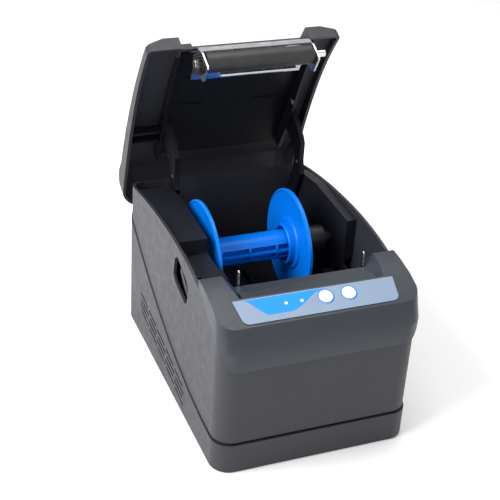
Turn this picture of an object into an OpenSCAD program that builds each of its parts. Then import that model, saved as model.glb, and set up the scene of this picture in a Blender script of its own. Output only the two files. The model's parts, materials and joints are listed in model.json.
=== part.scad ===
// Desktop receipt printer with a lift-up lid, a roll spindle and a front key panel.
// The lid is drawn closed and then swung open about its hinge.
// Lengths are in millimetres: X to the right, Y to the rear, Z up.
// Modules work from the front face (Y = 0), and in_frame() moves them to the base's centre.

/* [Case] */
// Width of the case
body_w = 150; // [148:1:152]
// Depth from the front face to the rear wall
body_d = 222; // [222:0.5:223]
// Radius of the upright corners
corner_r = 14; // [12:0.5:15]
// Thickness of the moulded walls
wall = 2.5; // [2.2:0.1:2.8]
// Height of the base pan at the front
seam_z = 23; // [21:0.5:25]
// Width of the dark groove over the pan at the front
seam_gap = 2; // [1:0.1:2.4]
// How far the upper shell stands in from the pan
shell_inset = 0.8; // [0.4:0.1:1]
// Highest point of the side walls
crest_z = 130; // [129:0.5:131]

/* [Hood] */
// Rear edge of the hood's shoulders
shoulder_y = 52; // [51:0.5:52]
// How far the hood stands out past the case
hood_proud = 1.6; // [1:0.1:1.8]
// Slope of the key panel, degrees
panel_tilt = 21.3; // [21:0.1:21.6]
// Radius of the two round keys
key_r = 4.9; // [4.5:0.1:5.2]
// Travel of the two round keys
key_travel = 0.8; // [0.5:0.1:0.9]

/* [Lid] */
// How far the lid stands open, degrees
lid_open = 65; // [55:1:65]
// Height of the crown over the lid's side edges
lid_crown = 4.4; // [3.8:0.2:5]
// Width of the sloped band along each side of the lid
crown_w = 12; // [10:0.5:13]
// Depth of the two horns at the front of the lid
horn_d = 9; // [7:0.5:10]

/* [Paper path] */
// Left inner wall of the paper bay
bay_left = -46.6; // [-47:0.1:-46.4]
// Right inner wall of the paper bay
bay_right = 64; // [63.8:0.1:64.4]
// Radius of the roll spindle
spindle_r = 11.2; // [10.5:0.1:11.6]
// Radius of the spindle's flanges
flange_r = 42.5; // [40:0.5:42.5]
// Left face of the adjustable flange
flange_x = 31.5; // [20:0.5:40]
// Radius of the platen's rubber
platen_r = 7; // [6.8:0.1:7]
// Module of the gear teeth
tooth_m = 0.8; // [0.8:0.1:0.8]

/* [Hidden] */

half_w = body_w / 2;
origin_y = 108;
fine = 96;
small = 32;
gap = 0.4;
run_gap = 0.05;

// Side wall: an arch with a tight front and a long rear sweep.
crest_y = 113;
arch_front_r = 270;
arch_rear_r = 510;

// Hinge of the lid
hinge_y = 209;
hinge_z = 93;
hinge_r = 3;
tail_r = sqrt(pow(arch_drop_z(hinge_y) - hinge_z, 2));

// Lid outline
lid_front = shoulder_y + 0.6;
lid_rear = body_d + 3;
lid_crest_y = 142;
lid_crest_z = 139.2;
lid_arch_r = 470;
lid_tail_r = 29;
lid_tail_y = lid_rear - lid_tail_r;
lid_tail_z = 110;

// Key panel
panel_y = 16.3;
panel_z = 121.5;
panel_half = 9.9;
panel_top_x = 59.6;
panel_low_x = 55.4;
overlay_t = 0.6;
lamp_r = 2.3;
lamp_u = [-23.5, -11.9];
lamp_v = 1.8;
key_u = [5.9, 23.2];
key_v = 1.9;

// Spindle
spin_y = 138;
spin_z = 94;
journal_r = 5;

// Platen, with the lid closed
roll_y = 54.5;
roll_z = 109.5;
roll_x0 = -36.2;
roll_x1 = 45.4;
plate_t = 1.2;
plate_left = -39;
plate_right = 46.6;
bracket_z = 122.5;

// Gear train on the left wall of the bay
gear_x0 = -43.4;
gear_w = 3.4;
platen_teeth = 18;
idler_teeth = 24;
pinion_teeth = 12;
idler_y = roll_y + 3.6;
idler_z = roll_z - sqrt(pow(pitch(platen_teeth) + pitch(idler_teeth), 2) - 3.6 * 3.6);
pinion_turn = -24;
pinion_reach = pitch(idler_teeth) + pitch(pinion_teeth);
pinion_y = idler_y + pinion_reach * cos(pinion_turn);
pinion_z = idler_z + pinion_reach * sin(pinion_turn);

// Release levers
lever_y = 66;
lever_z = 94;
lever_t = 3.6;
lever_pin_r = 2;

// Pins through the hinge arms, with the lid closed
arm_pin_y = 167.7;
arm_pin_z = 98.5;

// Floor of the pan, boards and rear panel
foot_x = half_w - 20;
foot_ys = [16, 198];
screw_x = half_w - 8.5;
screw_ys = [36, 184];
board_x = 54;
board_ys = [72, 190];
board_z = 16.6;
board_t = 1.6;
port_z = board_z + board_t + 5.8;

charcoal = [0.16, 0.17, 0.20];
charcoal_light = [0.22, 0.23, 0.26];
spool_blue = [0.02, 0.36, 0.92];

function pitch(teeth) = teeth * tooth_m / 2;
function sag(d, r) = r - sqrt(r * r - d * d);
function arch_drop_z(y) = crest_z - sag(y - crest_y, y < crest_y ? arch_front_r : arch_rear_r);
function wall_top(y) = y <= hinge_y ? arch_drop_z(y)
  : hinge_z + sqrt(max(0, pow(tail_r, 2) - pow(y - hinge_y, 2)));
function pan_top(y) = y < 10 ? seam_z : seam_z + 0.0029 * pow(y - 10, 1.9);
function seam_width(y) = y < 10 ? seam_gap : seam_gap - (seam_gap - gap) * min(1, (y - 10) / 50);
function lid_edge(y) = lid_crest_z - sag(y - lid_crest_y, lid_arch_r);
function steps(a, b, n) = [for (i = [0:n]) a + (b - a) * i / n];
function arc(cy, cz, r, a0, a1, n) =
  [for (a = steps(a0, a1, n)) [cy + r * cos(a), cz + r * sin(a)]];

module in_frame() {
  translate([0, -origin_y, 0]) children();
}

// A side outline (Y, Z) run from x0 to x1.
module along_x(x0, x1) {
  translate([x0, 0, 0]) rotate([90, 0, 90]) linear_extrude(x1 - x0) children();
}

// A round bar along X.
module bar(x0, x1, y, z, r, n = small) {
  translate([x0, y, z]) rotate([0, 90, 0]) cylinder(h = x1 - x0, r = r, $fn = n);
}

module block(x0, x1, y0, y1, z0, z1) {
  translate([x0, y0, z0]) cube([x1 - x0, y1 - y0, z1 - z0]);
}

// Plan outline with four round corners.
module plan(x0, x1, y0, y1, r) {
  translate([x0 + r, y0]) square([x1 - x0 - 2 * r, y1 - y0]);
  translate([x0, y0 + r]) square([x1 - x0, y1 - y0 - 2 * r]);
  for (x = [x0 + r, x1 - r], y = [y0 + r, y1 - r]) translate([x, y]) circle(r, $fn = fine);
}

module prism(x0, x1, y0, y1, z0, z1, r) {
  translate([0, 0, z0]) linear_extrude(z1 - z0) plan(x0, x1, y0, y1, r);
}

// The lid and all it carries are drawn closed, then swung open.
module lid_pose() {
  in_frame() translate([0, hinge_y, hinge_z]) rotate([-lid_open, 0, 0])
    translate([0, -hinge_y, -hinge_z]) children();
}

// Local frame of the key panel: X along the panel, Y up its slope, Z out of it.
module on_panel(u, v, w) {
  translate([0, panel_y, panel_z]) rotate([panel_tilt, 0, 0]) translate([u, v, w]) children();
}

// Gear along X with straight-sided teeth, a tooth pointing at angle "phase".
module gear(teeth, x0, x1, bore, phase) {
  root = pitch(teeth) - 1.15 * tooth_m;
  tip = pitch(teeth) + 0.85 * tooth_m;
  step = 360 / teeth;
  translate([x0, 0, 0]) rotate([90, 0, 90]) linear_extrude(x1 - x0) difference() {
    union() {
      circle(root + 0.02, $fn = fine);
      for (i = [0:teeth - 1]) rotate(phase + i * step) polygon([
        [root - 0.3, -step * root * 0.0055], [tip, -step * tip * 0.0020],
        [tip, step * tip * 0.0020], [root - 0.3, step * root * 0.0055]]);
    }
    circle(bore, $fn = small);
  }
}

// ---- Base -------------------------------------------------------------------

module vent_slots(side) {
  slot_l = 19;
  slot_h = 2;
  column_step = 22;
  rise = 8.6;
  for (column = [0:4], row = [0:3]) {
    y = 72 + column * column_step + (row % 2) * 3;
    z = 7 + row * 5 + (y - 72) * tan(rise);
    translate([side * (half_w - wall - 1), y, z]) rotate([rise, 0, 0])
      translate([side > 0 ? 0 : -wall - 2, 0, 0]) cube([wall + 2, slot_l, slot_h]);
  }
}

module tongue(inset, z0, z1) {
  inner = wall + 2.6;
  intersection() {
    difference() {
      prism(inset - half_w, half_w - inset, inset, body_d - inset, z0, z1, corner_r - inset);
      prism(inner - half_w, half_w - inner, inner, body_d - inner, 0, z1 + 1, corner_r - inner);
    }
    block(-half_w, half_w, 0, 24, z0, z1);
  }
}

module base_pan() {
  in_frame() color(charcoal) difference() {
    union() {
      intersection() {
        prism(-half_w, half_w, 0, body_d, 0, 100, corner_r);
        along_x(-half_w, half_w) polygon(concat([[0, 0], [0, seam_z]],
          [for (y = steps(10, body_d, 24)) [y, pan_top(y)]],
          [[body_d, 13], [body_d - 2, 6], [body_d - 8, 0]]));
        difference() {
          prism(-half_w, half_w, 0, body_d, 0, 100, corner_r);
          prism(wall - half_w, half_w - wall, wall, body_d - wall, wall, 101, corner_r - wall);
        }
      }
      // Tongue behind the groove
      tongue(wall - 0.1, 6, seam_z - 1);
      tongue(wall + 1, seam_z - 3, seam_z + 5);
      for (x = [-screw_x, screw_x], y = screw_ys)
        translate([x, y, wall - 0.1]) cylinder(h = 14, r = 4, $fn = small);
      for (x = [-board_x, board_x], y = board_ys)
        translate([x, y, wall - 0.1]) cylinder(h = board_z - wall + 0.1, r = 3.2, $fn = small);
    }
    for (x = [-foot_x, foot_x], y = foot_ys)
      translate([x, y, -1]) cylinder(h = 1.8, r = 6.2, $fn = fine);
    for (x = [-screw_x, screw_x], y = screw_ys) translate([x, y, -1]) {
      cylinder(h = 20, r = 1.5, $fn = small);
      cylinder(h = 3.2, r = 3.4, $fn = small);
    }
    vent_slots(1);
    vent_slots(-1);
    block(-58, -43, body_d - wall - 1, body_d + 1, port_z - 6, port_z + 6);
    block(-30, -17, body_d - wall - 1, body_d + 1, port_z - 6, port_z + 6);
    block(-4, 10, body_d - wall - 1, body_d + 1, port_z - 6, port_z + 6);
    block(40, 61.2, body_d - wall - 1, body_d + 1, port_z - 6.6, port_z + 6.6);
  }
}

module rubber_feet() {
  in_frame() color([0.05, 0.05, 0.05]) for (x = [-foot_x, foot_x], y = foot_ys)
    translate([x, y, -0.8]) cylinder(h = 1.55, r = 6, $fn = fine);
}

module case_screws() {
  in_frame() color([0.7, 0.7, 0.72]) for (x = [-screw_x, screw_x], y = screw_ys)
    translate([x, y, 0.6]) difference() {
      union() {
        cylinder(h = 1.6, r = 2.8, $fn = small);
        cylinder(h = 14, r = 1.45, $fn = small);
      }
      translate([-0.4, -1.8, -1]) cube([0.8, 3.6, 1.8]);
      translate([-1.8, -0.4, -1]) cube([3.6, 0.8, 1.8]);
    }
}

// ---- Upper shell ------------------------------------------------------------

// Lower edge of the hood's skirt, from the front face to the rear of the shoulder.
skirt_y = [-1, 1, 5, 12, 30, shoulder_y];
skirt_z = [86.5, 90, 100, 107, 114.5, 124];

module shell_side() {
  polygon(concat([[-1, seam_z + seam_gap], [10, seam_z + seam_gap]],
    [for (y = steps(14, body_d, 24)) [y, pan_top(y) + seam_width(y)]],
    [for (y = steps(body_d, shoulder_y + gap, 30)) [y, wall_top(y)]],
    [for (i = [5:-1:0]) [skirt_y[i], skirt_z[i] - gap]]));
}

module finger_hole() {
  polygon([[97, 121.5], [102.5, 117], [104.5, 103], [100, 99], [79, 93.5], [74, 96],
    [72, 108], [76, 114]]);
}

module upper_shell() {
  out_x = half_w - shell_inset;
  out_f = shell_inset;
  in_x = out_x - wall + 0.3;
  in_frame() color(charcoal) difference() {
    intersection() {
      prism(-out_x, out_x, out_f, body_d, 0, 140, corner_r);
      along_x(-half_w, half_w) shell_side();
    }
    prism(-in_x, in_x, out_f + wall, body_d - wall, 0, 141, corner_r - wall);
    along_x(-half_w - 1, 0) finger_hole();
  }
}

// Top of the wide blocks beside the bay, a little under the side walls.
function block_top(y) = min(wall_top(y) - 0.6, 124.5 + (y - 111) * 0.04);

module bay_wall(x0, x1, y0, low) {
  rear_y = body_d - wall - 2;
  along_x(x0, x1) polygon(concat([[62, 47.8], [62, low], [y0, low]],
    [for (y = steps(y0, 202, 16)) [y, block_top(y)]], [[rear_y, 112], [rear_y, 47.8]]));
}

module bay_cover(x0, x1, y0) {
  cover_t = 2.2;
  along_x(x0, x1) polygon(concat([for (y = steps(y0, 202, 16)) [y, block_top(y)]],
    [for (y = steps(202, y0, 16)) [y, block_top(y) - cover_t]]));
}

module paper_bay() {
  shell_in = half_w - shell_inset - wall + 0.1;
  left_out = bay_left - 2.2;
  right_out = bay_right + 2.2;
  step_left_y = 111;
  step_right_y = 108;
  notch_z = 113;
  lever_room = 67.2;
  in_frame() color(charcoal_light) difference() {
    union() {
      bay_wall(left_out, bay_left, step_left_y, notch_z);
      bay_wall(bay_right, right_out, step_right_y, 86);
      bay_cover(-shell_in, bay_left, step_left_y);
      bay_cover(bay_right, shell_in, step_right_y);
      // Face of the left block, the seat for the lid's horn, and the lever's pocket
      block(-shell_in, bay_left, step_left_y, step_left_y + 2, notch_z - 2, 124);
      block(-shell_in, bay_left, shoulder_y + 1, step_left_y + 2, notch_z - 2, notch_z);
      block(-shell_in, 1.4 - lever_room, 69, 107, notch_z - 2, 119.8);
      block(left_out, bay_left + 4, 76, 93, 100, 110);
      // Face of the right block, and the ledges below it
      block(bay_right, shell_in, step_right_y, step_right_y + 2, 90, 124);
      block(bay_right - 9, shell_in, 74, 98, 84, 86);
      block(bay_right - 9, bay_right, 96, 98, 72, 86);
      block(bay_right - 9, bay_right + 1, 98, 124, 72, 74);
      // Front wall of the bay
      block(left_out, right_out, 70, 72, 47.8, 84);
    }
    // Slot and closed pocket for the release lever
    block(-73, -lever_room, 54.5, 68, 80, 121);
    block(-73, -lever_room, 67, 105.5, 80, 118.4);
    // Gap behind the notch's floor
    block(-68, -53, step_left_y - 1.2, step_left_y, notch_z - 3, notch_z + 1);
    // Bores for the spindle's bushes and the hinge pins
    for (x = [left_out - 1, bay_right - 1]) {
      bar(x, x + 4.2, spin_y, spin_z, journal_r + 2.5, fine);
      bar(x, x + 4.2, hinge_y, hinge_z, hinge_r, fine);
    }
    // Room for the gears and their shafts
    block(bay_left + 0.1, -38, 69, 73, 76, 85);
    bar(left_out - 1, bay_left + 1, pinion_y, pinion_z, 4, fine);
    bar(left_out - 1, bay_left + 1, idler_y, idler_z, 2, fine);
  }
}

module bay_floor() {
  in_frame() color(charcoal) difference() {
    block(bay_left - 2.2, bay_right + 2.2, 72.2, body_d - wall - 2, 45.6, 47.8);
    for (x = [-20, 10, 40]) block(x - 1.5, x + 1.5, 100, 180, 45, 49);
  }
}

module hinge_pins() {
  in_frame() color([0.75, 0.75, 0.78]) {
    bar(bay_left - 5, bay_left + 5.2, hinge_y, hinge_z, hinge_r, fine);
    bar(bay_right - 5.2, bay_right + 5, hinge_y, hinge_z, hinge_r, fine);
  }
}

// ---- Hood and key panel -----------------------------------------------------

// Outline of the hood over the shoulders; "s" shrinks it for the inside.
module shoulder_outline(s) {
  polygon([[-hood_proud + s, 80], [-hood_proud + s, 101], [5 + s, 117 - s * 0.6],
    [26.5, 125.5 - s], [42, 128.6 - s], [shoulder_y - s, 129.4 - s], [shoulder_y - s, 80]]);
}

// Outline of the middle of the hood, with the paper strip behind the key panel.
module strip_outline(s) {
  polygon([[-hood_proud + s, 80], [-hood_proud + s, 101], [5 + s, 117 - s * 0.6],
    [27 - s * 0.4, 125.6 - s], [27.6 - s * 0.4, 124.2 - s], [37, 123.8 - s], [37.5, 122.9 - s],
    [48, 122 - s], [48, 121 - s], [s > 0 ? 60 : 48, 121 - s], [s > 0 ? 60 : 48, 80]]);
}

// Rounded block, shrunk by s, whose front and sides lean in above the front edge.
module hood_block(out_x, s) {
  side = out_x - s;
  front = s - hood_proud;
  top_z = 131 - s;
  hull() {
    prism(-side, side, front, 80, 60, 101 - s * 0.5, corner_r + 1 - s);
    prism(2 - side, side - 2, front + 12.4, 80, top_z - 1, top_z, 8 - s);
  }
}

module front_hood() {
  out_x = half_w + hood_proud * 0.4;
  mid_x = 50.5;
  crease_x = 57.5;
  in_frame() color(charcoal_light) difference() {
    intersection() {
      hood_block(out_x, 0);
      union() {
        along_x(-mid_x, mid_x) strip_outline(0);
        difference() {
          union() {
            along_x(-out_x, -mid_x) shoulder_outline(0);
            along_x(mid_x, out_x) shoulder_outline(0);
          }
          // Facets that fall from the shoulders to the strip
          for (side = [-1, 1]) translate([side * crease_x, 0, 129.5]) rotate([0, side * -46, 0])
            translate([side > 0 ? -30 : 0, 27.3, 0]) cube([30, 40, 20]);
        }
      }
    }
    // Inside, open below and behind
    intersection() {
      hood_block(out_x, wall);
      union() {
        along_x(-mid_x - 1, mid_x + 1) strip_outline(wall);
        along_x(-out_x, -crease_x - 2) shoulder_outline(wall);
        along_x(crease_x + 2, out_x) shoulder_outline(wall);
      }
    }
    // Everything under the skirt line
    along_x(-out_x - 1, out_x + 1) polygon(concat([[shoulder_y + 1, 60], [-5, 60], [-5, 86.5]],
      [for (i = [0:5]) [skirt_y[i], skirt_z[i]]], [[shoulder_y + 1, 124.5]]));
    // Seat of the overlay, and the holes for lamps and keys
    on_panel(0, 0, -0.15) linear_extrude(4) overlay_outline(0.15);
    for (u = lamp_u) on_panel(u, lamp_v, -8) cylinder(h = 12, r = lamp_r + 0.2, $fn = small);
    for (u = key_u) on_panel(u, key_v, -8) cylinder(h = 12, r = key_r + 0.35, $fn = fine);
  }
}

// Overlay: straight top edge, leaning ends and round lower corners.
module overlay_outline(grow) {
  r = 5;
  lean = atan((panel_top_x - panel_low_x - 2.2) / (2 * panel_half - r));
  corner = [panel_low_x + 2.2 - r, r - panel_half];
  out = r + grow;
  polygon(concat([[-panel_top_x - grow, panel_half + grow], [panel_top_x + grow, panel_half + grow]],
    [for (a = steps(-lean, -90, 10)) corner + out * [cos(a), sin(a)]],
    [for (a = steps(-90, lean - 180, 10)) [-corner[0], corner[1]] + out * [cos(a), sin(a)]]));
}

module panel_overlay() {
  in_frame() color([0.66, 0.73, 0.84]) difference() {
    on_panel(0, 0, 0) linear_extrude(overlay_t) overlay_outline(0);
    for (u = lamp_u) on_panel(u, lamp_v, -1) cylinder(h = 4, r = lamp_r + 0.1, $fn = small);
    for (u = key_u) on_panel(u, key_v, -1) cylinder(h = 4, r = key_r + 0.3, $fn = fine);
  }
}

module lens(u) {
  in_frame() color([0.95, 0.97, 1]) on_panel(u, lamp_v, -6) union() {
    cylinder(h = 6 + overlay_t + 0.1, r = lamp_r, $fn = small);
    translate([0, 0, -1]) cylinder(h = 1.5, r = lamp_r + 0.9, $fn = small);
  }
}
module power_lens() { lens(lamp_u[0]); }
module error_lens() { lens(lamp_u[1]); }

module key(u) {
  in_frame() color([0.95, 0.95, 0.97]) on_panel(u, key_v, -4.2) union() {
    cylinder(h = 5.6, r = key_r, $fn = fine);
    translate([0, 0, -0.8]) cylinder(h = 1.2, r = key_r + 1, $fn = fine);
    translate([0, 0, -2.6]) cylinder(h = 2.4, r = 1.5, $fn = small);
  }
}
module pause_key() { key(key_u[0]); }
module feed_key() { key(key_u[1]); }

module key_board() {
  in_frame() color([0.08, 0.28, 0.16]) union() {
    on_panel(-40, -6, -11.6) cube([80, 14, 1.6]);
    for (u = key_u) on_panel(u - 3, key_v - 3, -10.1) cube([6, 6, 2.1]);
    for (u = lamp_u) on_panel(u, lamp_v, -10.1) cylinder(h = 2.9, r = 1.5, $fn = small);
  }
}

// ---- Print mechanism --------------------------------------------------------

// Side plate with a hook that reaches up behind the paper strip.
module chassis_side() {
  polygon([[28, 62], [28, 98], [34, 98], [40, 110], [45.5, 119], [48.4, 121], [49.4, 132],
    [50.2, 133], [51.6, 132.6], [52, 131], [50.9, 120], [49.3, 114.5], [45.5, 104],
    [45.5, 92], [62, 74], [62, 62]]);
}

module print_chassis() {
  chassis_right = 49.3;
  in_frame() color([0.78, 0.79, 0.8]) difference() {
    union() {
      along_x(bay_left + 0.2, bay_left + 1.4) chassis_side();
      along_x(chassis_right - 1.2, chassis_right) chassis_side();
      block(bay_left + 0.2, chassis_right, 28, 62, 62, 63.2);
      block(bay_left + 0.2, chassis_right, 28, 29.2, 62, 98);
    }
    bar(bay_left - 1, bay_left + 3, idler_y, idler_z, 2.4, small);
    // Room for the platen's shaft
    bar(bay_left - 1, chassis_right + 1, roll_y, roll_z, 4.6, small);
  }
}

module head_heatsink() {
  in_frame() color([0.72, 0.73, 0.75]) union() {
    block(-36.5, 44.5, 40.6, 45.4, 80, 113);
    for (x = [-35:8:43]) block(x, x + 1.5, 37.7, 40.8, 86, 111);
  }
}

module print_head() {
  in_frame() color([0.15, 0.15, 0.17]) union() {
    block(-36, 44.5, 45.4, 46.3, 88, 113);
    bar(-35.5, 44, 46.15, roll_z + 0.4, 0.7, small);
  }
}

module head_springs() {
  in_frame() color([0.8, 0.8, 0.82]) for (x = [-22, 28], i = [0:6])
    translate([x, 29.75 + i * 1.24, 92]) rotate([-90, 0, 0])
      rotate_extrude($fn = small) translate([3, 0]) circle(0.5, $fn = 16);
}

module paper_sensor() {
  in_frame() color([0.1, 0.1, 0.12]) union() {
    block(-6, 8, 72.1, 78, 74, 82);
    block(-3.5, -0.5, 78, 79, 77, 80);
    block(2.5, 5.5, 78, 79, 77, 80);
  }
}

module stepper_motor() {
  x1 = bay_left - 2.4;
  in_frame() color([0.62, 0.62, 0.64]) difference() {
    union() {
      translate([x1 - 14, pinion_y, pinion_z]) rotate([0, 90, 0]) cylinder(h = 13, r = 15.5, $fn = fine);
      translate([x1 - 1.2, pinion_y - 14, pinion_z - 20]) cube([1.2, 28, 40]);
      bar(x1 - 1, x1 + 2, pinion_y, pinion_z, 3.6);
      block(x1 - 12, x1 - 4, pinion_y + 12, pinion_y + 19, pinion_z - 6, pinion_z + 6);
    }
    bar(x1 - 20, x1 + 9, pinion_y, pinion_z, 1.55, fine);
  }
}

module motor_pinion() {
  in_frame() color([0.8, 0.66, 0.3]) union() {
    translate([0, pinion_y, pinion_z])
      gear(pinion_teeth, gear_x0, gear_x0 + gear_w, 1.2, 180 + pinion_turn + 180 / pinion_teeth);
    bar(bay_left - 15, gear_x0 + gear_w, pinion_y, pinion_z, 1.5, fine);
  }
}

module idler_gear() {
  in_frame() color([0.85, 0.85, 0.82]) translate([0, idler_y, idler_z])
    gear(idler_teeth, gear_x0, gear_x0 + gear_w, 1.55, pinion_turn);
}

module idler_stud() {
  in_frame() color([0.75, 0.75, 0.78]) union() {
    bar(bay_left - 2.1, gear_x0 + gear_w + 1, idler_y, idler_z, 1.5, fine);
    bar(gear_x0 + gear_w + 0.3, gear_x0 + gear_w + 1, idler_y, idler_z, 2.6, small);
  }
}

// ---- Lid release ------------------------------------------------------------

// A plate with a finger rib behind the hole and a hook under the lid's horn.
module release_lever() {
  x0 = -71.4;
  in_frame() color([0.3, 0.31, 0.34]) difference() {
    union() {
      along_x(x0 + 1, x0 + lever_t) polygon([[62, 90], [70, 90], [84, 93], [95, 101],
        [99, 108], [97, 113], [90, 112], [80, 104], [69, 101], [64.5, 106], [64, 112],
        [59.5, 113], [58.5, 111], [60.5, 109.5], [60, 100]]);
      along_x(x0, x0 + 1.1) polygon([[82, 96.5], [97.5, 108.5], [96.5, 113], [79, 100.5]]);
    }
    bar(x0 - 2, x0 + lever_t + 2, lever_y, lever_z, lever_pin_r + run_gap, fine);
  }
}

module lever_pin() {
  in_frame() color([0.75, 0.75, 0.78]) bar(-71.9, -66, lever_y, lever_z, lever_pin_r, fine);
}

// ---- Boards and rear sockets ------------------------------------------------

module main_board() {
  top = board_z + board_t;
  in_frame() color([0.08, 0.28, 0.16]) difference() {
    union() {
      block(-60, 60, 62, 200, board_z, top);
      block(-60, 36, 62, body_d - 5, board_z, top);
      block(-20, 0, 90, 110, top - 0.1, top + 1.6);
      block(-46, -34, 150, 162, top - 0.1, top + 1.4);
      for (x = [20, 34, 48]) translate([x, 150, top - 0.1]) cylinder(h = 12, r = 4, $fn = small);
      block(-59, -53, 84, 108, top - 0.1, top + 7);
      block(-10, 30, 64, 70, top - 0.1, top + 6);
    }
    for (x = [-board_x, board_x], y = board_ys)
      translate([x, y, 0]) cylinder(h = 30, r = 1.6, $fn = small);
  }
}

module power_inlet() {
  in_frame() color([0.08, 0.08, 0.09]) difference() {
    block(-57.8, -43.2, body_d - 16, body_d - 0.3, port_z - 5.8, port_z + 5.8);
    translate([-50.5, body_d + 1, port_z]) rotate([90, 0, 0]) cylinder(h = 10, r = 4.4, $fn = fine);
  }
}

module usb_socket() {
  in_frame() color([0.8, 0.8, 0.82]) difference() {
    block(-29.8, -17.2, body_d - 17, body_d - 0.3, port_z - 5.8, port_z + 5.8);
    difference() {
      block(-27.8, -19.2, body_d - 10, body_d + 1, port_z - 4.2, port_z + 4.2);
      block(-26.3, -20.7, body_d - 11, body_d - 3, port_z - 1.6, port_z + 1.6);
    }
  }
}

module drawer_jack() {
  in_frame() color([0.09, 0.09, 0.1]) difference() {
    block(-3.8, 9.8, body_d - 17, body_d - 0.3, port_z - 5.8, port_z + 5.8);
    block(-1.8, 7.8, body_d - 12, body_d + 1, port_z - 4, port_z + 3);
    block(0.8, 5.2, body_d - 12, body_d + 1, port_z + 2.5, port_z + 4.6);
  }
}

module switch_frame() {
  in_frame() color([0.06, 0.06, 0.07]) difference() {
    union() {
      block(40.3, 60.9, body_d - 14, body_d + 0.2, port_z - 6.3, port_z + 6.3);
      block(38.6, 62.6, body_d + 0.05, body_d + 1.6, port_z - 7.6, port_z + 7.6);
    }
    block(42.3, 58.9, body_d - 9, body_d + 3, port_z - 4.9, port_z + 4.9);
    translate([50.6, body_d - 1.4, port_z - 6.4]) cylinder(h = 12.8, r = 1.2 + run_gap, $fn = fine);
  }
}

module switch_rocker() {
  in_frame() color([0.1, 0.1, 0.11]) translate([50.6, body_d - 1.4, port_z]) rotate([0, 0, 9])
    union() {
      translate([0, 0, -4.5]) linear_extrude(9)
        polygon([[-7.4, -1.5], [7.4, -1.5], [7.4, 2.4], [0, 1.5], [-7.4, 2.4]]);
      translate([0, 0, -6.2]) cylinder(h = 12.4, r = 1.2, $fn = fine);
    }
}

// ---- Lid --------------------------------------------------------------------

// Side outline of the lid, raised by "up" and shrunk by "s"; its foot follows the case.
module lid_outline(up, s) {
  polygon(concat(
    [for (y = steps(lid_front + s, hinge_y, 26)) [y, wall_top(y) + gap - 20 * min(1, s)]],
    [[lid_rear - s, wall_top(hinge_y) - 8 - 20 * min(1, s)]],
    arc(lid_tail_y, lid_tail_z + up, lid_tail_r - s, 0, 76, 8),
    [for (y = steps(190, lid_front + s, 22)) [y, lid_edge(y) + up - s]]));
}

// The same top line with a foot far below, used to cut the sloped side bands.
module lid_cap(s) {
  top = lid_crown - s;
  polygon(concat([[0, -80], [lid_rear + 20, -80]],
    [[lid_rear + 20, lid_tail_z + lid_crown], [lid_rear - s, lid_tail_z + lid_crown]],
    arc(lid_tail_y, lid_tail_z + lid_crown, lid_tail_r - s, 9, 76, 7),
    [for (y = steps(190, lid_front, 22)) [y, lid_edge(y) + top]],
    [[0, lid_edge(lid_front) + top]]));
}

module tilted_cap(side, s) {
  pivot_z = lid_crest_z + lid_crown - s;
  translate([side * (half_w - crown_w), 0, pivot_z])
    rotate([0, side * atan(lid_crown / crown_w), 0]) translate([0, 0, -pivot_z])
      along_x(-200, 200) lid_cap(s);
}

// The closed lid as a solid; two tilted caps give its sloped side bands.
module lid_solid(s) {
  side = half_w - s;
  front_r = 4;
  intersection() {
    union() {
      prism(-side, side, lid_front + 40, lid_rear - s, 90, 150, corner_r - s);
      prism(-side, side, lid_front + s, lid_rear - 40, 90, 150, front_r - s);
    }
    along_x(-side, side) lid_outline(lid_crown, s);
    tilted_cap(1, s);
    tilted_cap(-1, s);
  }
}

module lid_shell() {
  horn_x = 49.5;
  back_y = lid_front + horn_d;
  lid_pose() color(charcoal) difference() {
    lid_solid(0);
    difference() {
      lid_solid(wall);
      // Front wall between the horns
      block(-horn_x - 2.4, horn_x + 2.4, 0, back_y + 2.4, 90, 160);
    }
    block(-horn_x, horn_x, 0, back_y, 90, 160);
    block(-horn_x, horn_x, 0, back_y + 2.41, 90, 131);
    block(-38, horn_x, 0, back_y + 4, 90, 160);
    // Underside, flush with the case and clear of its tail
    translate([0, hinge_y, hinge_z]) rotate([0, 90, 0])
      cylinder(h = 200, r = tail_r + gap, center = true, $fn = 180);
  }
}

module lid_liner() {
  left = bay_left - 1.6;
  right = bay_right - 6.6;
  t = 2.2;
  plate = 2.7;
  y0 = lid_front + horn_d + 5;
  y1 = 186;
  under = lid_crown - wall - plate;
  lid_pose() color(charcoal_light) union() {
    along_x(left, right + t) polygon(concat(
      [for (y = steps(y0, y1, 16)) [y, lid_edge(y) + lid_crown - wall - 0.2]],
      [for (y = steps(y1, y0, 16)) [y, lid_edge(y) + under]]));
    along_x(left, left + t) polygon(concat(
      [for (y = steps(y0, y1, 16)) [y, lid_edge(y) + under + 0.5]],
      [[y1, 127], [162, 127.6], [146, 129.3], [106, 131.5], [y0, 130]]));
    along_x(right, right + t) polygon(concat(
      [for (y = steps(y0, y1, 16)) [y, lid_edge(y) + under + 0.5]],
      [[y1, 129], [160, 127], [140, 127], [118, 128], [y0, 128]]));
    // Cross ribs in the channel beside the left wall
    for (y = [150, 161])
      block(-half_w + wall + 0.2, left + 0.1, y, y + 1.8, crest_z + 0.5,
        lid_edge(y) + lid_crown - 6.5);
    // Four raised marks and two bosses for the platen bracket
    for (y = [98, 130], x = [-26, 34])
      block(x - 9, x + 9, y, y + 0.9, lid_edge(y) + under - 0.7, lid_edge(y) + under + 0.5);
    for (x = [-26, 34]) translate([x, 74, bracket_z]) cylinder(h = 11.5, r = 4, $fn = small);
  }
}

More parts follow.
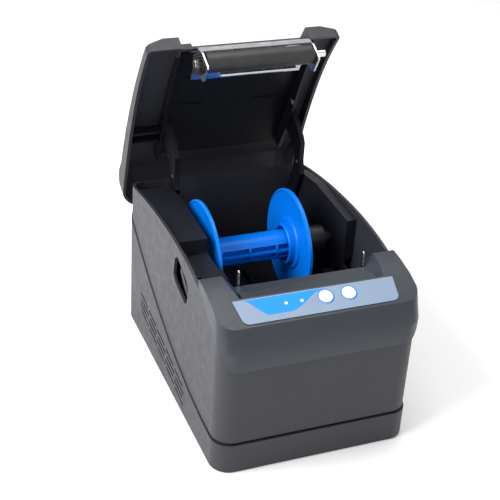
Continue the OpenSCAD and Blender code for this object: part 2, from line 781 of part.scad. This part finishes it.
// Gooseneck arm from the lid's ceiling down and back to the hinge.
module hinge_arm(x0, x1) {
  lid_pose() color(charcoal_light) difference() {
    union() {
      along_x(x0, x1) polygon([[141, 137], [147, 107], [150, 102], [163, 96], [172, 88],
        [hinge_y, 85.5], [hinge_y, 100.5], [178, 101], [168, 105], [163, 113], [162, 136.4]]);
      bar(x0, x1, hinge_y, hinge_z, 7.5, fine);
    }
    bar(x0 - 1, x1 + 1, hinge_y, hinge_z, hinge_r + run_gap, fine);
    bar(x0 - 1, x1 + 1, arm_pin_y, arm_pin_z, 1.5, small);
  }
}
module hinge_arm_left() { hinge_arm(bay_left + 0.5, bay_left + 4.7); }
module hinge_arm_right() { hinge_arm(bay_right - 4.4, bay_right - 0.6); }

// Pins through the arms, and a screw in the liner's right wall.
module lid_screws() {
  liner_x = bay_right - 6.6;
  lid_pose() color([0.8, 0.8, 0.82]) {
    bar(bay_left + 0.2, bay_left + 5, arm_pin_y, arm_pin_z, 1.5, small);
    bar(bay_right - 5, bay_right - 0.3, arm_pin_y, arm_pin_z, 1.5, small);
    bar(liner_x - 0.8, liner_x, 131, 130.5, 2.2, small);
  }
}

// Bent sheet that carries the platen under the front of the lid.
module platen_bracket() {
  t = plate_t;
  side_points = [[48, 113.5], [48, 100.5], [49.5, 99], [62.8, 100], [65, 102], [66.5, 110],
    [72, 118], [82, bracket_z], [51.5, bracket_z], [50.2, 118]];
  lid_pose() color([0.85, 0.86, 0.88]) difference() {
    union() {
      for (x = [plate_left, plate_right]) along_x(x, x + t) polygon(side_points);
      along_x(plate_left, plate_right + t) polygon([[49.5, 116.6], [50.2, 118],
        [51.5, bracket_z], [84, bracket_z], [84, bracket_z - t], [52.6, bracket_z - t],
        [51.4, 118], [50.6, 116.2]]);
      along_x(-24, 36) polygon([[66, bracket_z - 0.5], [67.4, bracket_z - 0.5], [66.6, 107],
        [65.2, 105.4], [64.2, 106.2], [65.2, 107.4]]);
    }
    bar(plate_left - 1, plate_right + 3, roll_y, roll_z, 4, fine);
  }
}

module platen_bushes() {
  lid_pose() color([0.78, 0.62, 0.3]) for (x = [plate_left - 0.6, plate_right + plate_t + 0.6 - 3])
    difference() {
      bar(x, x + 3, roll_y, roll_z, 4, fine);
      bar(x - 1, x + 4, roll_y, roll_z, 2.5 + run_gap, fine);
    }
}

module platen_shaft() {
  lid_pose() color([0.8, 0.8, 0.82]) union() {
    bar(-45, 56.5, roll_y, roll_z, 2.5, fine);
    bar(-45, gear_x0, roll_y, roll_z, 3.2, small);
  }
}

module platen_rubber() {
  lid_pose() color([0.06, 0.06, 0.06]) difference() {
    bar(roll_x0, roll_x1, roll_y, roll_z, platen_r, fine);
    bar(roll_x0 - 1, roll_x1 + 1, roll_y, roll_z, 2.5, fine);
  }
}

module platen_gear() {
  lid_pose() color([0.12, 0.12, 0.13]) translate([0, roll_y, roll_z])
    gear(platen_teeth, gear_x0, gear_x0 + gear_w, 2.5, 0);
}

// ---- Roll spindle -----------------------------------------------------------

// Dark core that turns in the bushes, with a wide boss at its right end.
module spindle_core() {
  in_frame() color([0.12, 0.13, 0.15]) union() {
    bar(bay_left - 2, bay_right + 2, spin_y, spin_z, journal_r, fine);
    bar(36, 58, spin_y, spin_z, spindle_r - 0.2, fine);
  }
}

// Ribbed sleeve round the core.
module spindle() {
  x0 = -36.9;
  x1 = 35.9;
  bays = [[x0 + 2, -29], [-27.5, -6], [-4.5, 16], [17.5, 34]];
  in_frame() color(spool_blue) translate([0, spin_y, spin_z]) difference() {
    bar(x0, x1, 0, 0, spindle_r, fine);
    bar(x0 - 1, x1 + 1, 0, 0, journal_r, fine);
    for (b = bays, side = [-1, 1]) {
      block(b[0], b[1], side > 0 ? 5.6 : -20, side > 0 ? 20 : -5.6, 0.7, 5.6);
      block(b[0], b[1], side > 0 ? 5.6 : -20, side > 0 ? 20 : -5.6, -5.6, -0.7);
    }
  }
}

// A dished disc with a rolled rim, opening towards -X.
module left_flange() {
  in_frame() color(spool_blue) translate([0, spin_y, spin_z]) rotate([0, 90, 0])
    rotate_extrude($fn = fine) polygon([[journal_r, -39.6], [journal_r, -36.9],
      [14, -36.9], [34, -38], [flange_r - 1.5, -38.4], [flange_r, -39.2], [flange_r, -40.8],
      [flange_r - 1.2, -41.4], [flange_r - 2.4, -40.6], [34, -40], [16, -38.8]]);
}

// A disc with a hollow collar, sliding on the spindle.
module right_flange() {
  bore = spindle_r + 0.25;
  face = flange_x;
  in_frame() color(spool_blue) translate([0, spin_y, spin_z]) rotate([0, 90, 0])
    rotate_extrude($fn = fine) polygon([[bore, face - 0.5], [bore + 2.4, face - 1],
      [bore + 2.4, face - 6], [bore + 3, face - 6.6], [bore + 4, face - 6.6],
      [bore + 4.6, face - 6], [bore + 4.6, face - 1.8], [bore + 8, face - 1.8],
      [bore + 8.8, face - 1], [bore + 9, face], [34, face - 0.4], [flange_r - 2.6, face - 1],
      [flange_r - 1.2, face - 1.8], [flange_r, face - 1.2], [flange_r, face + 0.8],
      [flange_r - 1.5, face + 1.6], [34, face + 1.8], [bore + 6, face + 2.6],
      [bore + 3, face + 5], [bore, face + 5]]);
}

module spindle_bushes() {
  in_frame() color([0.1, 0.1, 0.12]) for (x = [bay_left - 2.2, bay_right]) difference() {
    union() {
      bar(x, x + 2.2, spin_y, spin_z, journal_r + 2.5, fine);
      bar(x < 0 ? x - 1 : x + 2.2, x < 0 ? x : x + 3.2, spin_y, spin_z, journal_r + 4, fine);
    }
    bar(x - 2, x + 5, spin_y, spin_z, journal_r + run_gap, fine);
  }
}

base_pan();
rubber_feet();
case_screws();
upper_shell();
paper_bay();
bay_floor();
front_hood();
panel_overlay();
power_lens();
error_lens();
pause_key();
feed_key();
key_board();
print_chassis();
head_heatsink();
print_head();
head_springs();
paper_sensor();
stepper_motor();
motor_pinion();
idler_gear();
idler_stud();
release_lever();
lever_pin();
main_board();
power_inlet();
usb_socket();
drawer_jack();
switch_frame();
switch_rocker();
hinge_pins();
lid_shell();
lid_liner();
hinge_arm_left();
hinge_arm_right();
lid_screws();
platen_bracket();
platen_bushes();
platen_shaft();
platen_rubber();
platen_gear();
spindle_core();
spindle();
left_flange();
right_flange();
spindle_bushes();
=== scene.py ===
"""Desktop receipt printer with an open lid: materials, mouldings, camera and light on the CAD frame."""
import json
from math import cos, pi, radians, sin

import bmesh
import bpy
from mathutils import Matrix, Vector


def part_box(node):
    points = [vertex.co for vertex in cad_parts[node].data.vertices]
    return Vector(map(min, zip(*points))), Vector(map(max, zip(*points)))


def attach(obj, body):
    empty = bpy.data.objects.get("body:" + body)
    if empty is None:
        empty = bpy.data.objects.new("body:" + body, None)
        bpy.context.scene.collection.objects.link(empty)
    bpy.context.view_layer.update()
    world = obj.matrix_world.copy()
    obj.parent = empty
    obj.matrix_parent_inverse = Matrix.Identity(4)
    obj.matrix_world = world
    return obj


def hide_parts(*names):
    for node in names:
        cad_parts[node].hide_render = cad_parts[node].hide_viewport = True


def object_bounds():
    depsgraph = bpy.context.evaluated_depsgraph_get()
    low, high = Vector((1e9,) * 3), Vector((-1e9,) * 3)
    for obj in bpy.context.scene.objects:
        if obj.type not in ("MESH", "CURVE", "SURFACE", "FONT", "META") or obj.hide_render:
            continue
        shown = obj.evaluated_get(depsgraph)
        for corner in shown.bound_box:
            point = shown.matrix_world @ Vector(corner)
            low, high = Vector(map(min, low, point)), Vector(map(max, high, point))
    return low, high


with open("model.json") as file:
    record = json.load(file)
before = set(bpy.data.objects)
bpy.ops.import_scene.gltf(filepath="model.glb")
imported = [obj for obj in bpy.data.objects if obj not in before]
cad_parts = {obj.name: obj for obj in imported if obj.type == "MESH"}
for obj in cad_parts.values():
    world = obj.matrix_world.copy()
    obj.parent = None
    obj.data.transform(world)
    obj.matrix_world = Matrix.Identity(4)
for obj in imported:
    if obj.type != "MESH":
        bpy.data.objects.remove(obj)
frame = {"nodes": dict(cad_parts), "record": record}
CAD_BOX = [list(corner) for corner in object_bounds()]
MM = 0.001


# ---- Materials ---------------------------------------------------------------

class Nodes:
    """A short way to write a node tree."""

    def __init__(self, name):
        self.material = bpy.data.materials.new(name)
        self.material.use_nodes = True
        self.tree = self.material.node_tree
        self.shader = self.tree.nodes["Principled BSDF"]
        self.place = self.add("ShaderNodeTexCoord").outputs["Object"]

    def add(self, kind, **settings):
        node = self.tree.nodes.new(kind)
        for key, value in settings.items():
            if hasattr(node, key):
                setattr(node, key, value)
            else:
                node.inputs[key].default_value = value
        return node

    def link(self, start, end):
        self.tree.links.new(start, end)

    def noise(self, size, detail=3.0, stretch=None):
        """Noise whose grains are about `size` metres across."""
        node = self.add("ShaderNodeTexNoise", Scale=1.0 / size, Detail=detail)
        if stretch:
            mapping = self.add("ShaderNodeMapping")
            mapping.inputs["Scale"].default_value = stretch
            self.link(self.place, mapping.inputs["Vector"])
            self.link(mapping.outputs["Vector"], node.inputs["Vector"])
        else:
            self.link(self.place, node.inputs["Vector"])
        return node.outputs["Fac"]

    def spread(self, source, low, high):
        """Maps the middle of a noise to low..high."""
        node = self.add("ShaderNodeMapRange")
        node.inputs["From Min"].default_value = 0.3
        node.inputs["From Max"].default_value = 0.7
        node.inputs["To Min"].default_value = low
        node.inputs["To Max"].default_value = high
        self.link(source, node.inputs["Value"])
        return node.outputs["Result"]

    def bump(self, source, depth, strength=1.0, before=None):
        node = self.add("ShaderNodeBump", Strength=strength, Distance=depth)
        self.link(source, node.inputs["Height"])
        if before:
            self.link(before, node.inputs["Normal"])
        return node.outputs["Normal"]

    def two_tone(self, source, dark, light):
        node = self.add("ShaderNodeValToRGB")
        node.color_ramp.elements[0].position = 0.3
        node.color_ramp.elements[1].position = 0.7
        node.color_ramp.elements[0].color = (*dark, 1.0)
        node.color_ramp.elements[1].color = (*light, 1.0)
        self.link(source, node.inputs["Fac"])
        return node.outputs["Color"]


def scaled(colour, factor):
    return tuple(min(1.0, channel * factor) for channel in colour)


def moulded(name, colour, rough, grain=0.00045, depth=0.00003, vary=0.04, gloss=0.35):
    """Injection-moulded plastic: fine spark texture, uneven gloss and a faint cloudiness."""
    n = Nodes(name)
    n.link(n.two_tone(n.noise(0.03, 4.0), scaled(colour, 1 - vary), scaled(colour, 1 + vary)),
           n.shader.inputs["Base Color"])
    n.link(n.spread(n.noise(0.006, 5.0), rough - 0.05, rough + 0.05), n.shader.inputs["Roughness"])
    n.link(n.bump(n.noise(grain, 2.0), depth), n.shader.inputs["Normal"])
    n.shader.inputs["Specular IOR Level"].default_value = gloss
    return n.material


def metal(name, colour, rough, brushed=None, scratches=0.00001):
    """Bare or plated metal; `brushed` stretches its marks along one axis."""
    n = Nodes(name)
    marks = n.noise(0.0006, 4.0, brushed) if brushed else n.noise(0.002, 5.0)
    n.link(n.two_tone(n.noise(0.012, 4.0), scaled(colour, 0.9), scaled(colour, 1.06)),
           n.shader.inputs["Base Color"])
    n.link(n.spread(marks, rough * 0.7, rough * 1.4), n.shader.inputs["Roughness"])
    n.link(n.bump(marks, scratches), n.shader.inputs["Normal"])
    n.shader.inputs["Metallic"].default_value = 1.0
    return n.material


def ground_rubber(name, colour):
    """Silicone rubber ground round its axis, with fine rings and a soft sheen."""
    n = Nodes(name)
    rings = n.noise(0.0004, 2.0, (3.0, 0.15, 0.15))
    n.link(n.two_tone(n.noise(0.01, 4.0), scaled(colour, 0.8), scaled(colour, 1.3)),
           n.shader.inputs["Base Color"])
    n.link(n.spread(rings, 0.42, 0.6), n.shader.inputs["Roughness"])
    n.link(n.bump(rings, 0.00002), n.shader.inputs["Normal"])
    return n.material


def printed_film(name, colour, rough=0.38):
    """Printed polyester film with a very fine matt face."""
    n = Nodes(name)
    n.link(n.two_tone(n.noise(0.02, 2.0), scaled(colour, 0.97), scaled(colour, 1.03)),
           n.shader.inputs["Base Color"])
    n.link(n.spread(n.noise(0.004, 3.0), rough - 0.05, rough + 0.06), n.shader.inputs["Roughness"])
    n.link(n.bump(n.noise(0.0003, 1.0), 0.000006), n.shader.inputs["Normal"])
    n.shader.inputs["Specular IOR Level"].default_value = 0.25
    return n.material


def circuit_board(name):
    """Green solder resist with paler copper tracks under it."""
    n = Nodes(name)
    tracks = n.add("ShaderNodeTexBrick", Scale=180.0)
    n.link(n.place, tracks.inputs["Vector"])
    tracks.inputs["Color1"].default_value = (0.012, 0.10, 0.04, 1.0)
    tracks.inputs["Color2"].default_value = (0.010, 0.085, 0.035, 1.0)
    tracks.inputs["Mortar"].default_value = (0.03, 0.20, 0.08, 1.0)
    n.link(tracks.outputs["Color"], n.shader.inputs["Base Color"])
    n.link(n.spread(n.noise(0.004, 3.0), 0.25, 0.4), n.shader.inputs["Roughness"])
    n.link(n.bump(tracks.outputs["Fac"], 0.00004), n.shader.inputs["Normal"])
    return n.material


CHARCOAL = (0.026, 0.027, 0.034)
case_plastic = moulded("case_charcoal", CHARCOAL, 0.46)
hood_plastic = moulded("hood_charcoal", (0.021, 0.027, 0.036), 0.38, gloss=0.45)
lid_plastic = moulded("lid_charcoal", scaled(CHARCOAL, 0.92), 0.46)
# Paper bay: charcoal plastic darkened well below the case's, the extra darkness is painted shade of the
# deep recess
bay_painted_shade_plastic = moulded("bay_painted_shade", (0.010, 0.0105, 0.015), 0.42, gloss=0.3)
# Lid liner and hinge arms: the case's charcoal plastic darkened to near black, painted shade inside the
# open lid
inner_painted_shade_plastic = moulded("inner_painted_shade", (0.005, 0.0055, 0.0075), 0.38, gloss=0.2)
dark_plastic = moulded("black_plastic", (0.014, 0.014, 0.016), 0.40)
lever_plastic = moulded("lever_grey", (0.016, 0.017, 0.020), 0.36)
blue_plastic = moulded("spool_blue", (0.0, 0.17, 0.72), 0.32, grain=0.0011, depth=0.00001,
                       gloss=0.25)
white_plastic = moulded("key_white", (0.88, 0.88, 0.90), 0.28, grain=0.001, depth=0.000005,
                        vary=0.02)
nylon = moulded("gear_nylon", (0.72, 0.70, 0.63), 0.42)
ceramic = moulded("head_ceramic", (0.035, 0.026, 0.022), 0.16, grain=0.002, depth=0.000004)
foot_rubber = moulded("foot_rubber", (0.012, 0.012, 0.012), 0.75, depth=0.00006)
platen_black = ground_rubber("platen_black", (0.016, 0.016, 0.017))
film_pale = printed_film("film_pale", (0.20, 0.26, 0.36))
film_blue = printed_film("film_blue", (0.0, 0.22, 0.72))
chrome = metal("bracket_chrome", (0.62, 0.64, 0.67), 0.27, brushed=(0.08, 1.0, 1.0))
nickel = metal("nickel_plate", (0.72, 0.72, 0.73), 0.22)
zinc = metal("zinc_plate", (0.60, 0.60, 0.62), 0.30)
aluminium = metal("extruded_aluminium", (0.66, 0.67, 0.69), 0.32, brushed=(0.05, 1.0, 1.0))
brass = metal("turned_brass", (0.66, 0.47, 0.20), 0.24)
board_green = circuit_board("board_green")


# ---- Mesh helpers ------------------------------------------------------------

def new_object(name, mesh, material, body, *stands_for):
    piece = bpy.data.objects.new(name, mesh)
    bpy.context.scene.collection.objects.link(piece)
    mesh.materials.clear()
    mesh.materials.append(material)
    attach(piece, body)
    if stands_for:
        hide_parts(*stands_for)
    return piece


def body_of_node(node):
    bodies = frame["record"]["behaviour"]["bodies"]
    return next(body for body, members in bodies.items() if node in members)


def rounded_copy(node, material, radius, merge=True, segments=3, angle=28):
    """The CAD node's shape as a clean mesh with rounded edges, shown in place of the node."""
    mesh = frame["nodes"][node].data.copy()
    mesh.name = node + "_moulded"
    bm = bmesh.new()
    bm.from_mesh(mesh)
    bmesh.ops.remove_doubles(bm, verts=bm.verts, dist=2e-6)
    if merge:
        bmesh.ops.dissolve_limit(bm, angle_limit=radians(0.7), verts=bm.verts, edges=bm.edges,
                                 delimit={"NORMAL"})
    bmesh.ops.dissolve_degenerate(bm, dist=2e-6, edges=bm.edges)
    bm.to_mesh(mesh)
    bm.free()
    piece = new_object(node + "_moulded", mesh, material, body_of_node(node), node)
    bevel = piece.modifiers.new("rounding", "BEVEL")
    bevel.width = radius
    bevel.segments = segments
    bevel.limit_method = "ANGLE"
    bevel.angle_limit = radians(angle)
    bevel.use_clamp_overlap = True
    bevel.miter_outer = "MITER_ARC"
    mesh.shade_smooth()
    mesh.set_sharp_from_angle(angle=radians(50))
    smooth = piece.modifiers.new("even_shading", "WEIGHTED_NORMAL")
    smooth.keep_sharp = True
    smooth.weight = 60
    return piece


def finish_node(node, material):
    """A CAD node kept as it is, with its own material."""
    piece = frame["nodes"][node]
    piece.data.materials.clear()
    piece.data.materials.append(material)
    return piece


# Node: its material, and the radius of its edges in millimetres
ROUNDED = {
    "base_pan": (case_plastic, 0.7), "upper_shell": (case_plastic, 0.6),
    "front_hood": (hood_plastic, 0.9), "lid_shell": (lid_plastic, 0.9),
    # lid_liner and the hinge arms take the charcoal darkened with painted shade
    # paper_bay and bay_floor take the charcoal darkened with painted shade
    "paper_bay": (bay_painted_shade_plastic, 0.5), "lid_liner": (inner_painted_shade_plastic, 0.5),
    "bay_floor": (bay_painted_shade_plastic, 0.4), "hinge_arm_left": (inner_painted_shade_plastic, 0.6),
    "hinge_arm_right": (inner_painted_shade_plastic, 0.6), "platen_bracket": (chrome, 0.25),
    "release_lever": (lever_plastic, 0.5),
    "spindle": (blue_plastic, 0.3), "switch_frame": (dark_plastic, 0.4),
    "switch_rocker": (dark_plastic, 0.3),
    "power_inlet": (dark_plastic, 0.3), "drawer_jack": (dark_plastic, 0.3), "usb_socket": (nickel, 0.25),
    "print_chassis": (nickel, 0.2),
}
# Nodes with rows of openings keep their own faces
PIERCED = {"base_pan", "lid_shell", "upper_shell"}
for node, (material, radius_mm) in ROUNDED.items():
    rounded_copy(node, material, radius_mm * MM, merge=node not in PIERCED)

# Nodes shown as they are
PLAIN = {
    foot_rubber: ["rubber_feet"],
    zinc: ["case_screws", "stepper_motor", "idler_stud", "lever_pin", "hinge_pins", "lid_screws"],
    board_green: ["key_board", "main_board"], aluminium: ["head_heatsink"], ceramic: ["print_head"],
    dark_plastic: ["paper_sensor", "platen_gear", "spindle_bushes", "spindle_core"],
    brass: ["motor_pinion", "platen_bushes"],
    nylon: ["idler_gear"], nickel: ["platen_shaft"], platen_black: ["platen_rubber"],
    film_pale: ["panel_overlay"], blue_plastic: ["left_flange", "right_flange"],
}
for material, nodes in PLAIN.items():
    for node in nodes:
        finish_node(node, material)


# ---- Panel: keys, lamps and the printed field --------------------------------

TOWARDS_PANEL = next(joint["axis"] for joint in frame["record"]["behaviour"]["joints"]
                     if joint["name"] == "pause_press")
PANEL_OUT = -Vector(TOWARDS_PANEL).normalized()
PANEL_ACROSS = Vector((1, 0, 0))
PANEL_UP = PANEL_OUT.cross(PANEL_ACROSS)


def middle(node):
    low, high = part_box(node)
    return (low + high) / 2


def reach_out(node):
    """Furthest point of a node along the panel's outward direction."""
    return max(PANEL_OUT.dot(v.co) for v in frame["nodes"][node].data.vertices)


def panel_point(u, v, out):
    """A point `u` across and `v` up from the middle of the overlay, at a level along its normal."""
    centre = middle("panel_overlay")
    return centre + PANEL_ACROSS * u + PANEL_UP * v + PANEL_OUT * (out - PANEL_OUT.dot(centre))


def turned(name, profile, centre, material, body, *nodes, turns=64):
    """A solid of revolution about the panel's normal; `profile` lists (radius, level) from the top."""
    bm = bmesh.new()
    top = bm.verts.new(centre + PANEL_OUT * profile[0][1])
    rings = []
    for radius, level in profile[1:]:
        rings.append([bm.verts.new(centre + PANEL_OUT * level
                                   + PANEL_ACROSS * (radius * cos(2 * pi * i / turns))
                                   + PANEL_UP * (radius * sin(2 * pi * i / turns)))
                      for i in range(turns)])
    for i in range(turns):
        bm.faces.new((top, rings[0][i], rings[0][(i + 1) % turns]))
    for upper, lower in zip(rings, rings[1:]):
        for i in range(turns):
            j = (i + 1) % turns
            bm.faces.new((upper[i], lower[i], lower[j], upper[j]))
    bm.faces.new(list(reversed(rings[-1])))
    bmesh.ops.recalc_face_normals(bm, faces=bm.faces)
    mesh = bpy.data.meshes.new(name)
    bm.to_mesh(mesh)
    bm.free()
    mesh.shade_smooth()
    mesh.set_sharp_from_angle(angle=radians(40))
    piece = new_object(name, mesh, material, body, *nodes)
    return piece


def cap_radius(node, skirt=0.0):
    """Radius of a key or lens above the skirt that holds it under the panel."""
    low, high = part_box(node)
    return (high.x - low.x) / 2 - skirt


def domed(node, rise, edge, skirt=0.0):
    """The key or lens `node` with a shallow dome and a rounded rim."""
    radius = cap_radius(node)
    cap = cap_radius(node, skirt)
    top = reach_out(node)
    deep = min(PANEL_OUT.dot(v.co) for v in frame["nodes"][node].data.vertices)
    centre = middle(node)
    centre = centre - PANEL_OUT * PANEL_OUT.dot(centre)
    profile = [(0.0, top)]
    for i in range(1, 7):
        r = (cap - edge) * i / 6
        profile.append((r, top - rise * (i / 6) ** 2))
    for i in range(1, 6):
        turn = radians(18 * i)
        profile.append((cap - edge + edge * sin(turn), top - rise - edge * (1 - cos(turn))))
    if cap < radius:
        profile.append((cap, deep + SKIRT_HEIGHT))
        profile.append((radius, deep + SKIRT_HEIGHT))
    profile.append((radius, deep))
    return turned(node + "_domed", profile, centre, white_plastic, body_of_node(node), node)


SKIRT_HEIGHT = 1.2 * MM
SKIRT_WIDTH = 1.0 * MM
KEYS = ("pause_key", "feed_key")
for key in KEYS:
    domed(key, 0.25 * MM, 0.5 * MM, SKIRT_WIDTH)
for lens in ("power_lens", "error_lens"):
    domed(lens, 0.35 * MM, 0.25 * MM)


INK = 0.05 * MM
RING_GAP = 0.7 * MM
RING_WIDTH = 0.6 * MM
PANEL_TOP = 9.2 * MM
FIELD_LEFT = -53 * MM
FIELD_LOW_FROM = -37 * MM
FIELD_LOW_TO = -23 * MM
FIELD_RIGHT = 8 * MM
FIELD_LOW = -5 * MM
STEPS = 40


def printed_patch(name, outline, material, hole=None):
    """A thin printed area on the overlay, from a list of (u, v) points; `hole` is a second list."""
    level = reach_out("panel_overlay")
    bm = bmesh.new()
    low, high = ([[bm.verts.new(panel_point(u, v, level + lift)) for u, v in loop]
                  for loop in ([outline, hole] if hole else [outline])]
                 for lift in (-INK, INK))
    count = len(outline)
    for ring_low, ring_high in zip(low, high):
        for i in range(count):
            j = (i + 1) % count
            bm.faces.new((ring_low[i], ring_low[j], ring_high[j], ring_high[i]))
    for layer in (low, high):
        if hole:
            for i in range(count):
                j = (i + 1) % count
                bm.faces.new((layer[0][i], layer[0][j], layer[1][j], layer[1][i]))
        else:
            bm.faces.new(layer[0])
    bmesh.ops.recalc_face_normals(bm, faces=bm.faces)
    bmesh.ops.triangulate(bm, faces=[f for f in bm.faces if len(f.verts) > 4])
    mesh = bpy.data.meshes.new(name)
    bm.to_mesh(mesh)
    bm.free()
    return new_object(name, mesh, material, body_of_node("panel_overlay"))


def circle(u, v, radius, count=72):
    return [(u + radius * cos(2 * pi * i / count), v + radius * sin(2 * pi * i / count))
            for i in range(count)]


def ease(t):
    return t * t * (3 - 2 * t)


def swell(u):
    """Lower edge of the blue field: down from the left, level, then up again towards the right."""
    if u < FIELD_LOW_FROM:
        return PANEL_TOP + (FIELD_LOW - PANEL_TOP) * ease((u - FIELD_LEFT) / (FIELD_LOW_FROM - FIELD_LEFT))
    if u < FIELD_LOW_TO:
        return FIELD_LOW
    return FIELD_LOW + (PANEL_TOP - FIELD_LOW) * ease((u - FIELD_LOW_TO) / (FIELD_RIGHT - FIELD_LOW_TO))


edge = [FIELD_LEFT + (FIELD_RIGHT - FIELD_LEFT) * i / STEPS for i in range(STEPS + 1)]
field = [(u, swell(u)) for u in edge]
printed_patch("blue_field", field, film_blue)

for key in KEYS:
    offset = middle(key) - middle("panel_overlay")
    u = offset.dot(PANEL_ACROSS)
    v = offset.dot(PANEL_UP)
    inner = cap_radius(key, SKIRT_WIDTH) + RING_GAP
    printed_patch(key + "_ring", circle(u, v, inner + RING_WIDTH), film_blue, circle(u, v, inner))


# ---- Springs behind the print head -------------------------------------------

def coil_spring(name, centre, radius, wire, start, end, turns):
    """Mesh of a round wire wound about the Y axis, closed at both ends."""
    around = 10
    along = 28 * turns
    bm = bmesh.new()
    loops = []
    for i in range(along + 1):
        t = i / along
        turn = 2 * pi * turns * t
        y = start + (end - start) * t
        outward = Vector((cos(turn), 0, sin(turn)))
        spot = Vector((centre.x, y, centre.z)) + outward * radius
        loops.append([bm.verts.new(spot + outward * (wire * cos(2 * pi * k / around))
                                   + Vector((0, wire * sin(2 * pi * k / around), 0)))
                      for k in range(around)])
    for one, two in zip(loops, loops[1:]):
        for k in range(around):
            m = (k + 1) % around
            bm.faces.new((one[k], one[m], two[m], two[k]))
    bm.faces.new(loops[0])
    bm.faces.new(loops[-1])
    bmesh.ops.recalc_face_normals(bm, faces=bm.faces)
    mesh = bpy.data.meshes.new(name)
    bm.to_mesh(mesh)
    bm.free()
    mesh.shade_smooth()
    mesh.set_sharp_from_angle(angle=radians(60))
    return mesh


SPRING_RADIUS = 3.0 * MM
SPRING_WIRE = 0.5 * MM
low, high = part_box("head_springs")
reach = SPRING_RADIUS + SPRING_WIRE
for side, x in (("left", low.x + reach), ("right", high.x - reach)):
    wound = coil_spring("head_spring_" + side, Vector((x, 0, (low.z + high.z) / 2)), SPRING_RADIUS,
                        SPRING_WIRE, low.y + SPRING_WIRE, high.y - SPRING_WIRE, 6)
    coil = new_object("head_spring_" + side, wound, zinc, body_of_node("head_springs"), "head_springs")


# ---- Floor, light and camera -------------------------------------------------

def add_floor(low):
    mesh = bpy.data.meshes.new("floor")
    reach = 3.0
    corners = [(-reach, -reach, low), (reach, -reach, low), (reach, reach, low), (-reach, reach, low)]
    mesh.from_pydata(corners, [], [(0, 1, 2, 3)])
    floor = bpy.data.objects.new("floor", mesh)
    bpy.context.scene.collection.objects.link(floor)
    n = Nodes("floor_white")
    n.shader.inputs["Base Color"].default_value = (0.93, 0.93, 0.93, 1.0)
    n.shader.inputs["Roughness"].default_value = 0.6
    mesh.materials.append(n.material)


def add_light(name, place, aim, size, power):
    data = bpy.data.lights.new(name, "AREA")
    data.shape = "RECTANGLE"
    data.size, data.size_y = size
    data.energy = power
    light = bpy.data.objects.new(name, data)
    bpy.context.scene.collection.objects.link(light)
    light.location = place
    light.rotation_euler = (Vector(aim) - Vector(place)).to_track_quat("-Z", "Y").to_euler()


def add_camera(place, azimuth, elevation, roll, lens):
    data = bpy.data.cameras.new("camera")
    data.lens = lens
    data.sensor_width = 36.0
    camera = bpy.data.objects.new("camera", data)
    bpy.context.scene.collection.objects.link(camera)
    back = Vector((sin(azimuth) * cos(elevation), -cos(azimuth) * cos(elevation), sin(elevation)))
    right = (-back).cross(Vector((0, 0, 1))).normalized()
    up = right.cross(-back)
    x_axis = cos(roll) * right + sin(roll) * up
    y_axis = -sin(roll) * right + cos(roll) * up
    turn = Matrix((x_axis, y_axis, back)).transposed().to_4x4()
    camera.matrix_world = Matrix.Translation(place) @ turn
    bpy.context.scene.camera = camera


def set_world(strength):
    world = bpy.data.worlds.new("studio")
    world.use_nodes = True
    background = world.node_tree.nodes["Background"]
    background.inputs["Color"].default_value = (1.0, 1.0, 1.0, 1.0)
    background.inputs["Strength"].default_value = strength
    bpy.context.scene.world = world


add_floor(CAD_BOX[0][2])
set_world(0.6)
add_light("key", (-0.95, -0.10, 0.85), (0.0, 0.0, 0.1), (0.8, 0.8), 20.0)
add_light("front", (0.35, -1.3, 0.7), (0.0, 0.0, 0.1), (0.9, 0.6), 2.5)
add_light("top", (0.1, 0.3, 1.4), (0.0, 0.0, 0.1), (1.0, 1.0), 11.0)
add_camera(Vector((-0.3056, -0.6865, 0.5484)), radians(-23.01), radians(30.37), radians(3.79), 84.33)
bpy.context.scene.view_settings.view_transform = "Standard"
